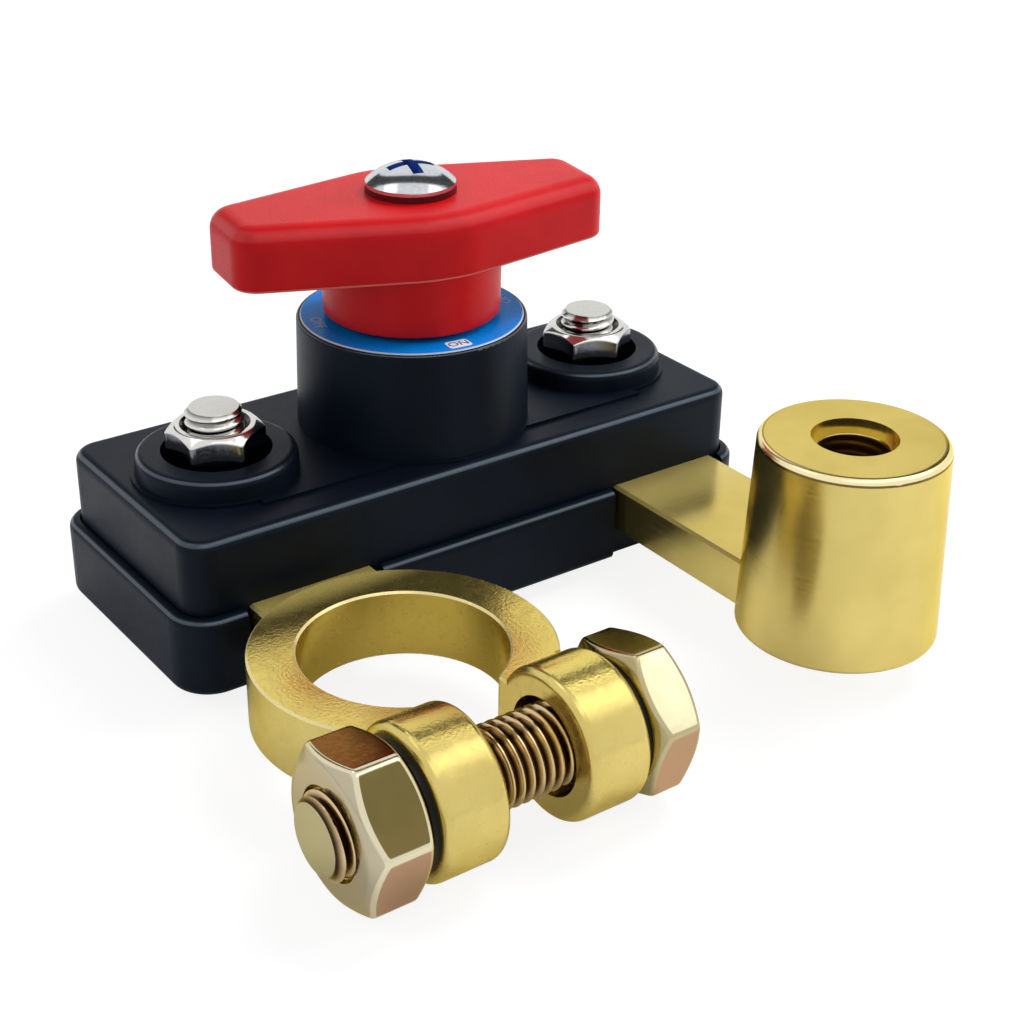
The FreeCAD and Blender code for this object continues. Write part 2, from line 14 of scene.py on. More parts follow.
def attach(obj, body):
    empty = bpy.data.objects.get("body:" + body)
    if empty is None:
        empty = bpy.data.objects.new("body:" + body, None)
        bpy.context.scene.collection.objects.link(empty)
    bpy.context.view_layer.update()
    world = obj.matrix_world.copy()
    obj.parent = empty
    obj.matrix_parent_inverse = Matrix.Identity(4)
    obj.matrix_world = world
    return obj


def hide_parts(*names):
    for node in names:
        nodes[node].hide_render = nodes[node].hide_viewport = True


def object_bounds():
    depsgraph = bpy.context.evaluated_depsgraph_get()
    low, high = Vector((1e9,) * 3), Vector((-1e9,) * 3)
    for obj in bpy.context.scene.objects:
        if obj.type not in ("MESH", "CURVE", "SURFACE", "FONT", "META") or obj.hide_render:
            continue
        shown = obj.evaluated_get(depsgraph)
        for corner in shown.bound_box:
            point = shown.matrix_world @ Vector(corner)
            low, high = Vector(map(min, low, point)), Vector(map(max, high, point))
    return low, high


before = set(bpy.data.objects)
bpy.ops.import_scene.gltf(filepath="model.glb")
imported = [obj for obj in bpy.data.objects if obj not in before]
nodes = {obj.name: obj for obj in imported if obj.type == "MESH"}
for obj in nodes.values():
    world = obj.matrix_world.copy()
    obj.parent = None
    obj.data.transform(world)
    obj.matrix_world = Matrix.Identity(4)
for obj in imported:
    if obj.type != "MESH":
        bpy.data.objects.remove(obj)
cad_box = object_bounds()
MM = 0.001

# Places and sizes that the solids have, in millimetres
BAR_LOW, BAR_TOP = 33.05, 39.2
SCREW_RADIUS = 4.4
PAD_HEIGHT, RIM_HEIGHT, DOME_HEIGHT = 0.7, 0.35, 1.75
STUD_X = 22.4
STUD_RADIUS = 2.85
STUD_LOW, STUD_TOP = 3.4, 22.1
STUD_HEAD_HEIGHT = 2.4
STUD_NUT_LOW, STUD_NUT_TOP = 15.3, 20.4
STUD_NUT_FLATS, STUD_NUT_TURN = 8.4, 34.0
BOLT_Y, BOLT_Z = -44.1, 5.9
BOLT_RADIUS = 3.75
BOLT_FLATS = 13.0
BOLT_TIP, BOLT_HEAD, BOLT_END = -38.1, -9.0, -4.1
BOLT_HEAD_TURN, CLAMP_NUT_TURN = 16.0, 20.0
CLAMP_NUT_LOW, CLAMP_NUT_HIGH = -36.8, -30.8
POST_X, POST_Y, POST_TOP = 22.95, -39.4, 22.3
POST_HOLE_RADIUS, POST_MOUTH_DEPTH = 3.4, 1.2
DIAL_TOP = 26.8
RING_X, RING_Y, RING_BORE = -19.9, -28.8, 9.4
STUD_PITCH = 1.0
BOLT_PITCH = 1.0

# Sizes and places that only the looks have, in millimetres
ROD_IN_HEAD = 0.2
POST_THREAD_DEPTH, POST_THREAD_PITCH = 13.0, 1.0
DIAL_BLUE_RADIUS, MARK_RADIUS = 11.0, 9.75
BADGE_THICKNESS, INK_SPREAD = 0.03, 0.01
HOLE_SHADE_LOW, BAR_EDGES_BELOW = 4.0, 12.0
LUGS_MIDDLE = (-22.5, -40.5, 9.3)

# The camera that fits the photograph's edges: degrees, millimetres and pixels
CAMERA_TURN, CAMERA_LIFT, CAMERA_ROLL = -36.291, 27.815, 0.966
CAMERA_PLACE = (-94.98, -146.75, 96.34)
FOCAL_PIXELS, PHOTO_PIXELS = 1875.338, 1024
SENSOR_WIDTH = 36


# Camera and studio

def add_camera():
    turn, lift, roll = (math.radians(angle) for angle in (CAMERA_TURN, CAMERA_LIFT, CAMERA_ROLL))
    back = Vector((math.sin(turn) * math.cos(lift), -math.cos(turn) * math.cos(lift), math.sin(lift)))
    right = Vector((math.cos(turn), math.sin(turn), 0))
    up = back.cross(right)
    rolled_right = math.cos(roll) * right + math.sin(roll) * up
    rolled_up = -math.sin(roll) * right + math.cos(roll) * up
    data = bpy.data.cameras.new("camera")
    data.sensor_width = SENSOR_WIDTH
    data.lens = SENSOR_WIDTH * FOCAL_PIXELS / PHOTO_PIXELS
    data.clip_start = 0.01
    data.clip_end = 20
    camera = bpy.data.objects.new("camera", data)
    turned = Matrix((rolled_right, rolled_up, back)).transposed().to_4x4()
    camera.matrix_world = Matrix.Translation(Vector(CAMERA_PLACE) * MM) @ turned
    bpy.context.scene.collection.objects.link(camera)
    bpy.context.scene.camera = camera


def add_lamp(name, place, target, size, power):
    """Soft square lamp that stays out of reflections. Places and size are in metres."""
    data = bpy.data.lights.new(name, "AREA")
    data.shape = "SQUARE"
    data.size = size
    data.energy = power
    lamp = bpy.data.objects.new(name, data)
    lamp.location = place
    lamp.rotation_euler = (Vector(target) - Vector(place)).to_track_quat("-Z", "Y").to_euler()
    bpy.context.scene.collection.objects.link(lamp)
    lamp.visible_glossy = False


def new_node(tree, kind, **values):
    """Adds a node and sets its inputs, named with underscores for spaces."""
    node = tree.nodes.new(kind)
    for name, value in values.items():
        node.inputs[name.replace("_", " ").title()].default_value = value
    return node


def seen_ray(tree):
    """1 for camera, glossy and transmission rays, and the light path's own camera output."""
    path = tree.nodes.new("ShaderNodeLightPath")
    total = path.outputs["Is Camera Ray"]
    for name in ("Is Glossy Ray", "Is Transmission Ray"):
        add = tree.nodes.new("ShaderNodeMath")
        add.operation = "MAXIMUM"
        tree.links.new(total, add.inputs[0])
        tree.links.new(path.outputs[name], add.inputs[1])
        total = add.outputs[0]
    return total, path.outputs["Is Camera Ray"]


def mixed(tree, share, first, second):
    """Shader that goes from the first to the second node's as share goes from 0 to 1."""
    mix = tree.nodes.new("ShaderNodeMixShader")
    tree.links.new(share, mix.inputs[0])
    tree.links.new(first.outputs[0], mix.inputs[1])
    tree.links.new(second.outputs[0], mix.inputs[2])
    return mix


def add_world():
    """Soft light from all round, and a white background where it is seen."""
    world = bpy.data.worlds.new("studio")
    world.use_nodes = True
    bpy.context.scene.world = world
    tree = world.node_tree
    tree.nodes.clear()
    soft = new_node(tree, "ShaderNodeBackground", color=(0.95, 0.97, 1.0, 1), strength=0.44)
    white = new_node(tree, "ShaderNodeBackground", color=(1, 1, 1, 1), strength=1.0)
    mix = mixed(tree, seen_ray(tree)[0], soft, white)
    out = tree.nodes.new("ShaderNodeOutputWorld")
    tree.links.new(mix.outputs[0], out.inputs["Surface"])


def add_floor(half=3.0, gap=0.00005):
    """Plain pale floor: diffuse for the light it sends back, raised to white where it is seen."""
    mesh = bpy.data.meshes.new("floor")
    low = cad_box[0][2] - gap
    mesh.from_pydata([(-half, -half, low), (half, -half, low), (half, half, low), (-half, half, low)],
                     [], [(0, 1, 2, 3)])
    floor = bpy.data.objects.new("floor", mesh)
    bpy.context.scene.collection.objects.link(floor)
    mat = bpy.data.materials.new("floor")
    mat.use_nodes = True
    tree = mat.node_tree
    tree.nodes.clear()
    seen, camera = seen_ray(tree)
    plain = new_node(tree, "ShaderNodeBsdfDiffuse", color=(0.75, 0.75, 0.75, 1))
    shaded = new_node(tree, "ShaderNodeBsdfDiffuse", color=(0.95, 0.95, 0.95, 1))
    glow = new_node(tree, "ShaderNodeEmission", color=(1, 1, 1, 1), strength=1.08)
    # The shadow stays in what is diffuse; reflections show more of it than the camera does
    glow_share = tree.nodes.new("ShaderNodeMapRange")
    glow_share.inputs["To Min"].default_value = 0.15
    glow_share.inputs["To Max"].default_value = 0.8
    tree.links.new(camera, glow_share.inputs["Value"])
    raised = mixed(tree, glow_share.outputs["Result"], shaded, glow)
    mix = mixed(tree, seen, plain, raised)
    out = tree.nodes.new("ShaderNodeOutputMaterial")
    tree.links.new(mix.outputs[0], out.inputs["Surface"])
    mesh.materials.append(mat)


def add_studio():
    add_world()
    add_floor()
    add_lamp("key", place=(0.22, 0.02, 0.35), target=(0, -0.01, 0.01), size=0.22, power=1.15)
    add_lamp("right", place=(0.34, -0.18, 0.16), target=(0.02, -0.03, 0.01), size=0.16, power=0.62)
    add_lamp("left", place=(-0.30, 0.10, 0.24), target=(0, -0.02, 0.01), size=0.18, power=0.28)
    # What polished metal shows: three bright cards, and a dark one that crosses the flat tops
    add_card("right_card", 2.1, sector(turns=(-50, -8), lifts=(36, 66)))
    add_card("front_card", 1.9, sector(turns=(-135, -52), lifts=(53, 72)))
    add_card("left_card", 1.9, sector(turns=(116, 160), lifts=(55, 72)))
    add_card("arch_card", 0.07, arch(middle=(57, 42), radii=(25, 41), half_sweep=118))


def toward(turn, lift):
    """Unit vector at an azimuth and an elevation in degrees."""
    turn, lift = math.radians(turn), math.radians(lift)
    return Vector((math.cos(lift) * math.cos(turn), math.cos(lift) * math.sin(turn), math.sin(lift)))


def sector(turns, lifts):
    """Card between two azimuths and two elevations."""
    return lambda u, v: toward(turns[0] + (turns[1] - turns[0]) * u, lifts[0] + (lifts[1] - lifts[0]) * v)


def arch(middle, radii, half_sweep):
    """Card that bends round a direction, between two angles from it."""
    axis = toward(*middle)
    up = toward(middle[0], middle[1] + 90)
    side = axis.cross(up)

    def at(u, v):
        sweep = math.radians(half_sweep * (2 * u - 1))
        away = math.radians(radii[0] + (radii[1] - radii[0]) * v)
        return math.cos(away) * axis + math.sin(away) * (math.cos(sweep) * up + math.sin(sweep) * side)

    return at


def add_card(name, strength, direction, distance=0.5, steps=16):
    """Studio card, pale or dark, seen in reflections only.

    direction(u, v) gives the way to each of its points, and distance is in metres.
    """
    verts, faces = [], []
    for i in range(steps + 1):
        for j in range(steps + 1):
            verts.append(tuple(distance * direction(i / steps, j / steps)))
    for i in range(steps):
        for j in range(steps):
            a = i * (steps + 1) + j
            faces.append((a, a + 1, a + steps + 2, a + steps + 1))
    mesh = bpy.data.meshes.new(name)
    mesh.from_pydata(verts, [], faces)
    card = bpy.data.objects.new(name, mesh)
    bpy.context.scene.collection.objects.link(card)
    mat = bpy.data.materials.new(name)
    mat.use_nodes = True
    mat.node_tree.nodes.clear()
    glow = new_node(mat.node_tree, "ShaderNodeEmission", strength=strength)
    out = mat.node_tree.nodes.new("ShaderNodeOutputMaterial")
    mat.node_tree.links.new(glow.outputs[0], out.inputs["Surface"])
    mesh.materials.append(mat)
    card.visible_camera = False
    card.visible_diffuse = False
    card.visible_shadow = False


# Mesh helpers

def add_piece(name, verts, faces, body, slot, material, replaced=(), sharp=None):
    """Piece from a mesh in millimetres. Edges that turn more than sharp degrees stay sharp."""
    mesh = bpy.data.meshes.new(name)
    mesh.from_pydata([tuple(c * MM for c in v) for v in verts], [], faces)
    mesh.validate()
    work = bmesh.new()
    work.from_mesh(mesh)
    bmesh.ops.remove_doubles(work, verts=work.verts, dist=2e-7)
    if sharp is not None:
        for edge in work.edges:
            if len(edge.link_faces) == 2:
                edge.smooth = edge.calc_face_angle(0) < math.radians(sharp)
    for face in work.faces:
        face.smooth = True
    work.to_mesh(mesh)
    work.free()
    piece = bpy.data.objects.new(name, mesh)
    bpy.context.scene.collection.objects.link(piece)
    mesh.materials.append(material)
    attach(piece, body)
    if replaced:
        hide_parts(*replaced)
    return piece


def smooth_corners(points, radius, steps=4):
    """Outline of (r, z) points whose inner corners become short curves."""
    out = [points[0]]
    for a, b, c in zip(points, points[1:], points[2:]):
        a, b, c = (np.array(p, float) for p in (a, b, c))
        to_a, to_c = a - b, c - b
        len_a, len_c = np.linalg.norm(to_a), np.linalg.norm(to_c)
        reach = min(radius, 0.45 * len_a, 0.45 * len_c)
        start, end = b + to_a / len_a * reach, b + to_c / len_c * reach
        for k in range(steps + 1):
            t = k / steps
            out.append(tuple((1 - t) ** 2 * start + 2 * t * (1 - t) * b + t ** 2 * end))
    out.append(points[-1])
    return out


def hex_angles():
    """Angles round a hexagon, close together at its corners, and one in the middle of each flat."""
    from_corner = [0.7, 1.4, 2.1, 2.8, 3.6, 4.6, 6, 8, 11, 14, 18, 22, 26]
    angles = []
    for corner in range(0, 360, 60):
        angles += [corner, corner + 30]
        for step in from_corner:
            angles += [corner - step, corner + step]
    return [math.radians(a) for a in sorted(a % 360 for a in angles)]


def hex_radius(angle, flats, corner_round):
    """Distance from the axis to a hexagon's side, with rounded corners; a corner lies at angle 0."""
    step = math.radians(60)
    off = abs((angle + step / 2) % step - step / 2)
    apothem = flats / 2
    centre = (apothem - corner_round) / math.cos(math.radians(30))
    from_flat = math.radians(30) - off
    edge = (apothem - corner_round) * math.tan(math.radians(30))
    if math.tan(from_flat) * apothem <= edge:
        return apothem / math.cos(from_flat)
    return centre * math.cos(off) + math.sqrt(corner_round ** 2 - (centre * math.sin(off)) ** 2)


def turned_shell(outline_at, angles):
    """Grid of faces made from an outline of (r, z) points at each angle round +Z."""
    outlines = [outline_at(angle) for angle in angles]
    count, total = len(outlines[0]), len(angles)
    verts, faces = [], []
    for angle, outline in zip(angles, outlines):
        verts += [(r * math.cos(angle), r * math.sin(angle), z) for r, z in outline]
    for i in range(total):
        k = (i + 1) % total
        for j in range(count - 1):
            faces.append((i * count + j, k * count + j, k * count + j + 1, i * count + j + 1))
    return verts, faces


def hex_shell(flats, height, crown, corner_round, inner, edge_round=0.12, slant=30):
    """Outside of a nut from z = 0, from the mouth of its hole at one end to that at the other."""
    slope = math.tan(math.radians(slant))
    crown_radius = crown * flats

    def outline(angle):
        reach = hex_radius(angle, flats, corner_round)
        drop = max((reach - crown_radius) * slope, 0.02)
        points = [(inner, height), (crown_radius, height), (reach, height - drop), (reach, drop),
                  (crown_radius, 0), (inner, 0)]
        return smooth_corners(points, edge_round)

    return turned_shell(outline, hex_angles())


# Half of a thread's profile: the share of the pitch from the crest, and the share of the depth
THREAD_PROFILE = [(0.0, 0.0), (0.06, 0.0), (0.11, 0.08), (0.2, 0.36), (0.3, 0.68), (0.38, 0.92), (0.44, 1.0)]


def thread_rows():
    """The whole profile, from one crest to just before the next."""
    rows = list(THREAD_PROFILE)
    rows += [(1 - p, d) for p, d in reversed(THREAD_PROFILE[1:])]
    return rows


def thread_surface(crest, root, pitch, z0, z1, limit, around=96, inside=False):
    """Helical surface round +Z between z0 and z1. limit(z) bounds the radius at each height.

    It is made with turns to spare, which the two cuts at z0 and z1 take off.
    """
    rows = thread_rows()
    per_turn = len(rows)
    turns = int(math.ceil((z1 - z0) / pitch)) + 3
    start = z0 - 1.5 * pitch
    work = bmesh.new()
    grid = []
    for i in range(around):
        angle = 2 * math.pi * i / around
        column = []
        for j in range(turns * per_turn):
            share, depth = rows[j % per_turn]
            z = start + pitch * (j // per_turn + share + i / around)
            radius = crest + (root - crest) * depth
            bound = limit(z)
            radius = max(radius, bound) if inside else min(radius, bound)
            column.append(work.verts.new((radius * math.cos(angle), radius * math.sin(angle), z)))
        grid.append(column)
    for i in range(around):
        shift = 0 if i + 1 < around else per_turn
        other = grid[(i + 1) % around]
        for j in range(turns * per_turn - 1 - shift):
            quad = (grid[i][j], other[j + shift], other[j + 1 + shift], grid[i][j + 1])
            work.faces.new(tuple(reversed(quad)) if inside else quad)
    for z, side in ((z0, -1), (z1, 1)):
        geometry = work.verts[:] + work.edges[:] + work.faces[:]
        bmesh.ops.bisect_plane(work, geom=geometry, plane_co=(0, 0, z), plane_no=(0, 0, side),
                               clear_outer=True, dist=1e-6)
    if not inside:
        edges = [e for e in work.edges if e.is_boundary]
        bmesh.ops.holes_fill(work, edges=edges, sides=0)
    work.verts.index_update()
    verts = [tuple(v.co) for v in work.verts]
    faces = [tuple(v.index for v in f.verts) for f in work.faces]
    work.free()
    return verts, faces


def joined(*parts):
    """Several parts as one."""
    verts, faces = [], []
    for part_verts, part_faces in parts:
        base = len(verts)
        verts += part_verts
        faces += [tuple(i + base for i in face) for face in part_faces]
    return verts, faces


def placed(part, turn=0.0, move=(0, 0, 0), along_x=False):
    """Turns a part about its axis, lays its +Z along +X if asked, and moves it."""
    angle = math.radians(turn)
    c, s = math.cos(angle), math.sin(angle)
    verts = [(x * c - y * s, x * s + y * c, z) for x, y, z in part[0]]
    if along_x:
        verts = [(z, y, -x) for x, y, z in verts]
    return [(x + move[0], y + move[1], z + move[2]) for x, y, z in verts], part[1]


def threaded_rod(radius, pitch, z0, z1, tip_chamfer, depth_share=0.6):
    """Rod with a chamfer at z1. depth_share is the thread's depth as a share of its pitch."""
    root = radius - depth_share * pitch
    return thread_surface(radius, root, pitch, z0, z1, lambda z: radius - tip_chamfer + max(z1 - z, 0))


def nut_part(flats, height, crown, corner_round, radius, pitch, mouth, edge_round=0.12, slant=30):
    """Nut for a thread of the given radius, whose hole widens by mouth at both ends."""
    crest = radius - 0.54 * pitch
    top = radius + mouth
    shell = hex_shell(flats, height, crown, corner_round, top, edge_round, slant)
    # A hair wider than the shell's mouth, so that the two surfaces keep their own normals
    thread = thread_surface(crest + 0.06, radius + 0.05, pitch, 0, height,
                            lambda z: top + 0.004 - min(z, height - z), inside=True)
    return joined(shell, thread)


# Materials

class Look:
    """A node material with the helpers that the looks below share."""

    def __init__(self, name):
        self.mat = bpy.data.materials.new(name)
        self.mat.use_nodes = True
        self.tree = self.mat.node_tree
        self.shader = next(n for n in self.tree.nodes if n.type == "BSDF_PRINCIPLED")
        self.coord = self.tree.nodes.new("ShaderNodeTexCoord")
        self.place = self.coord.outputs["Object"]
        self.normal = self.coord.outputs["Normal"]

    def set(self, **values):
        for key, value in values.items():
            name = key.replace("_", " ")
            socket = next(s for s in self.shader.inputs if s.name.lower() == name.lower())
            socket.default_value = (*value, 1) if isinstance(value, tuple) else value
        return self

    def link(self, a, b):
        self.tree.links.new(a, b)

    def into(self, output, name):
        self.link(output, self.shader.inputs[name])

    def noise(self, size_mm, detail=3.0, rough=0.55, stretch=None):
        node = self.tree.nodes.new("ShaderNodeTexNoise")
        node.inputs["Scale"].default_value = 1000.0 / size_mm
        node.inputs["Detail"].default_value = detail
        node.inputs["Roughness"].default_value = rough
        source = self.place
        if stretch:
            scale = self.tree.nodes.new("ShaderNodeVectorMath")
            scale.operation = "MULTIPLY"
            scale.inputs[1].default_value = stretch
            self.link(source, scale.inputs[0])
            source = scale.outputs[0]
        self.link(source, node.inputs["Vector"])
        return node.outputs["Fac"]

    def ramp(self, value, low, high, out_low=0.0, out_high=1.0, smooth=True):
        node = self.tree.nodes.new("ShaderNodeMapRange")
        node.interpolation_type = "SMOOTHSTEP" if smooth else "LINEAR"
        node.inputs["From Min"].default_value = low
        node.inputs["From Max"].default_value = high
        node.inputs["To Min"].default_value = out_low
        node.inputs["To Max"].default_value = out_high
        self.link(value, node.inputs["Value"])
        return node.outputs["Result"]

    def math(self, kind, a, b=None):
        node = self.tree.nodes.new("ShaderNodeMath")
        node.operation = kind
        for socket, value in zip(node.inputs, (a, b)):
            if value is None:
                continue
            if isinstance(value, (int, float)):
                socket.default_value = value
            else:
                self.link(value, socket)
        return node.outputs[0]

    def blend(self, fac, a, b):
        node = self.tree.nodes.new("ShaderNodeMix")
        node.data_type = "RGBA"
        self.link(fac, node.inputs[0])
        for socket, value in ((node.inputs[6], a), (node.inputs[7], b)):
            if isinstance(value, tuple):
                socket.default_value = (*value, 1)
            else:
                self.link(value, socket)
        return node.outputs[2]

    def xyz(self, vector):
        node = self.tree.nodes.new("ShaderNodeSeparateXYZ")
        self.link(vector, node.inputs[0])
        return node.outputs

    def distance(self, centre, keep=(1, 1, 1)):
        """Distance in millimetres to centre, leaving out the axes whose keep is 0."""
        node = self.tree.nodes.new("ShaderNodeVectorMath")
        node.operation = "SUBTRACT"
        self.link(self.place, node.inputs[0])
        node.inputs[1].default_value = tuple(c * MM for c in centre)
        scale = self.tree.nodes.new("ShaderNodeVectorMath")
        scale.operation = "MULTIPLY"
        scale.inputs[1].default_value = tuple(k / MM for k in keep)
        self.link(node.outputs[0], scale.inputs[0])
        length = self.tree.nodes.new("ShaderNodeVectorMath")
        length.operation = "LENGTH"
        self.link(scale.outputs[0], length.inputs[0])
        return length.outputs["Value"]

    def rounded_edges(self, low=0.3, high=0.92):
        """1 where the surface leans between upright and level, as it does on a rounded edge."""
        slope = self.math("ABSOLUTE", self.xyz(self.normal)[2])
        return self.math("MULTIPLY", self.ramp(slope, low, low + 0.14),
                         self.ramp(slope, high - 0.12, high, 1, 0))

    def bump(self, height, depth_mm, strength=1.0, after=None):
        node = self.tree.nodes.new("ShaderNodeBump")
        node.inputs["Distance"].default_value = depth_mm * MM
        if isinstance(strength, (int, float)):
            node.inputs["Strength"].default_value = strength
        else:
            self.link(strength, node.inputs["Strength"])
        self.link(height, node.inputs["Height"])
        if after is not None:
            self.link(after, node.inputs["Normal"])
        self.into(node.outputs[0], "Normal")
        return node.outputs[0]


def black_moulding(name, base=(0.0028, 0.0046, 0.0098)):
    """Satin blue-black plastic whose rounded edges are glossier."""
    look = Look(name).set(specular_tint=(0.7, 0.85, 1.0))
    cloud = look.noise(9.0, 3)
    fine = look.noise(0.22, 2)
    paler = tuple(c * 1.35 for c in base)
    look.into(look.blend(look.ramp(cloud, 0.3, 0.7), base, paler), "Base Color")
    edge = look.rounded_edges(0.5, 0.9)
    rough = look.ramp(look.math("ADD", look.math("MULTIPLY", cloud, 0.6), look.math("MULTIPLY", fine, 0.4)),
                      0.3, 0.7, 0.36, 0.48)
    look.into(look.math("SUBTRACT", rough, look.math("MULTIPLY", edge, 0.12)), "Roughness")
    look.into(look.ramp(edge, 0, 1, 0.12, 1.0, smooth=False), "Specular IOR Level")
    look.bump(fine, 0.006, 0.5)
    return look.mat


def red_moulding():
    """Satin red, with painted shade under the screw and a painted highlight along the bar's lower rounded
    edge.
    """
    look = Look("handle_red")
    cloud = look.noise(7.0, 3)
    fine = look.noise(0.18, 2)
    red = look.blend(look.ramp(cloud, 0.3, 0.7), (0.52, 0.0045, 0.008), (0.60, 0.0075, 0.011))
    height = look.xyz(look.place)[2]
    # Painted shade: the pad's side under the screw's rim is dark red
    from_axis = look.distance((0, 0, 0), keep=(1, 1, 0))
    near = look.ramp(from_axis, SCREW_RADIUS + 0.3, SCREW_RADIUS + 0.5, 1, 0)
    screw_shade = look.math("MULTIPLY", near, look.ramp(height, (BAR_TOP + 0.03) * MM, (BAR_TOP + 0.12) * MM))
    red = look.blend(screw_shade, red, (0.09, 0.001, 0.004))
    # Painted highlight: a paler band along the bar's lower rounded edge
    low = look.math("MULTIPLY", look.ramp(height, (BAR_LOW + 0.45) * MM, (BAR_LOW + 0.3) * MM),
                    look.ramp(height, (BAR_LOW - 0.05) * MM, BAR_LOW * MM))
    slant = look.ramp(look.math("ABSOLUTE", look.xyz(look.normal)[2]), 0.25, 0.45)
    red = look.blend(look.math("MULTIPLY", low, slant), red, (0.80, 0.16, 0.14))
    look.into(red, "Base Color")
    look.into(look.ramp(fine, 0.3, 0.7, 0.32, 0.44), "Roughness")
    look.into(look.ramp(look.rounded_edges(0.35, 0.9), 0, 1, 0.13, 0.35, smooth=False), "Specular IOR Level")
    look.bump(fine, 0.006, 0.6)
    return look.mat


def sandy_brass():
    """Cast and gold plated: sandy skin on the flat faces, smoother on the turned ones."""
    look = Look("cast_brass").set(specular_tint=(1.0, 0.88, 0.5))
    grain = look.noise(0.32, 2, 0.5)
    soft = look.noise(0.9, 2)
    cloud = look.noise(6.0, 3)
    y = look.xyz(look.place)[1]
    slope = look.math("ABSOLUTE", look.xyz(look.normal)[2])
    up = look.ramp(look.xyz(look.normal)[2], 0.9, 0.97)
    gold = look.blend(look.ramp(cloud, 0.3, 0.7), (0.62, 0.49, 0.150), (0.70, 0.56, 0.185))
    # Painted light: faces that point up are paler gold
    gold = look.blend(look.math("MULTIPLY", up, 0.6), gold, (0.92, 0.74, 0.20))
    # Painted reflection: redder on top over the lugs
    ring = look.distance((RING_X, RING_Y, 0), keep=(1, 1, 0))
    red_reflection = look.math("MULTIPLY", look.ramp(look.distance(LUGS_MIDDLE), 2.5, 10.0, 1.0, 0.0), up)
    gold = look.blend(look.math("MULTIPLY", red_reflection, 0.9), gold, (0.40, 0.20, 0.045))
    # Painted bounce light: deeper gold on the ring's bore walls
    bore = look.math("MULTIPLY", look.ramp(ring, RING_BORE + 0.1, RING_BORE + 0.25, 1, 0),
                     look.ramp(slope, 0.2, 0.4, 1, 0))
    gold = look.blend(bore, gold, (0.50, 0.365, 0.070))
    # Painted highlight along the rounded edges of the ring and the bar
    clear = look.ramp(look.distance((0, BOLT_Y, BOLT_Z), keep=(0, 1, 1)), 7.0, 7.2)
    edge = look.math("MULTIPLY", look.ramp(slope, 0.62, 0.7), look.ramp(slope, 0.76, 0.84, 1, 0))
    edge = look.math("MULTIPLY", edge, clear)
    gold = look.blend(edge, gold, (0.86, 0.72, 0.34))
    look.into(gold, "Base Color")
    # The bar's skin beside the housing is duller
    bar = look.math("MULTIPLY", look.ramp(y, (RING_Y + 9.5) * MM, (RING_Y + 13.5) * MM), up)
    dull = look.math("MAXIMUM", bar, edge)
    look.into(look.ramp(dull, 0, 1, 0.95, 0.5, smooth=False), "Metallic")
    look.into(look.ramp(soft, 0.3, 0.7, 0.20, 0.28), "Roughness")
    # A slight crown on the ring's top, from the casting
    crown = look.math("MULTIPLY", look.math("MULTIPLY", ring, ring), -0.0045)
    first = look.bump(crown, 1.0, up)
    look.bump(grain, 0.030, look.math("MULTIPLY", up, 0.85), after=first)
    return look.mat


def satin_brass():
    """Turned and gold plated: smooth, with a painted highlight round the post's top rim and painted shade in
    its hole.
    """
    look = Look("turned_brass").set(specular_tint=(1.0, 0.88, 0.5))
    fine = look.noise(0.14, 2)
    rings = look.noise(0.5, 2, stretch=(0.08, 0.08, 1.6))
    cloud = look.noise(7.0, 3)
    gold = look.blend(look.ramp(cloud, 0.3, 0.7), (0.62, 0.495, 0.155), (0.70, 0.56, 0.185))
    up = look.ramp(look.xyz(look.normal)[2], 0.9, 0.97)
    _, y, z = look.xyz(look.place)
    from_post = look.distance((POST_X, POST_Y, 0), keep=(1, 1, 0))
    # Painted shade in the hole below the mouth; the underside keeps the plate's colour
    hole = look.ramp(from_post, POST_HOLE_RADIUS + 0.05, POST_HOLE_RADIUS + 0.2, 1, 0)
    mouth_end = POST_TOP - POST_MOUTH_DEPTH
    deep = look.ramp(z, (mouth_end - 0.4) * MM, (mouth_end - 0.1) * MM, 1, 0)
    deep = look.math("MULTIPLY", deep, look.math("GREATER_THAN", z, HOLE_SHADE_LOW * MM))
    gold = look.blend(look.math("MULTIPLY", hole, deep), gold, (0.30, 0.18, 0.05))
    slope = look.math("ABSOLUTE", look.xyz(look.normal)[2])
    # Painted highlight on the rim, between two painted dark lines
    rim = look.math("MULTIPLY", look.math("GREATER_THAN", z, (POST_TOP - 1.5) * MM),
                    look.ramp(from_post, 6.0, 6.5))
    for low, high, colour in ((0.05, 0.36, (0.20, 0.13, 0.035)), (0.30, 0.93, (0.92, 0.80, 0.46)),
                              (0.90, 0.995, (0.24, 0.16, 0.045))):
        rim_light_band = look.math("MULTIPLY", look.ramp(slope, low, low + 0.05),
                         look.ramp(slope, high - 0.05, high, 1, 0))
        gold = look.blend(look.math("MULTIPLY", rim_light_band, rim), gold, colour)
    look.into(gold, "Base Color")
    # The bar's edges, and its skin towards the housing, are duller
    edge = look.math("MULTIPLY", look.ramp(slope, 0.5, 0.65), look.ramp(slope, 0.78, 0.9, 1, 0))
    edge = look.math("MULTIPLY", edge, look.math("LESS_THAN", z, BAR_EDGES_BELOW * MM))
    bar = look.math("MULTIPLY", look.ramp(y, -23 * MM, -17 * MM), up)
    look.into(look.ramp(look.math("MAXIMUM", bar, edge), 0, 1, 0.95, 0.5, smooth=False), "Metallic")
    marks = look.math("ADD", look.math("MULTIPLY", fine, 0.5), look.math("MULTIPLY", rings, 0.5))
    look.into(look.ramp(marks, 0.3, 0.7, 0.17, 0.26), "Roughness")
    look.bump(fine, 0.006, 0.5)
    return look.mat


def from_studs(look):
    """Distance to the nearer stud's axis, in metres, and the height."""
    x, y, z = look.xyz(look.place)
    dx = look.math("SUBTRACT", look.math("ABSOLUTE", x), STUD_X * MM)
    return look.math("SQRT", look.math("ADD", look.math("MULTIPLY", dx, dx), look.math("MULTIPLY", y, y))), z


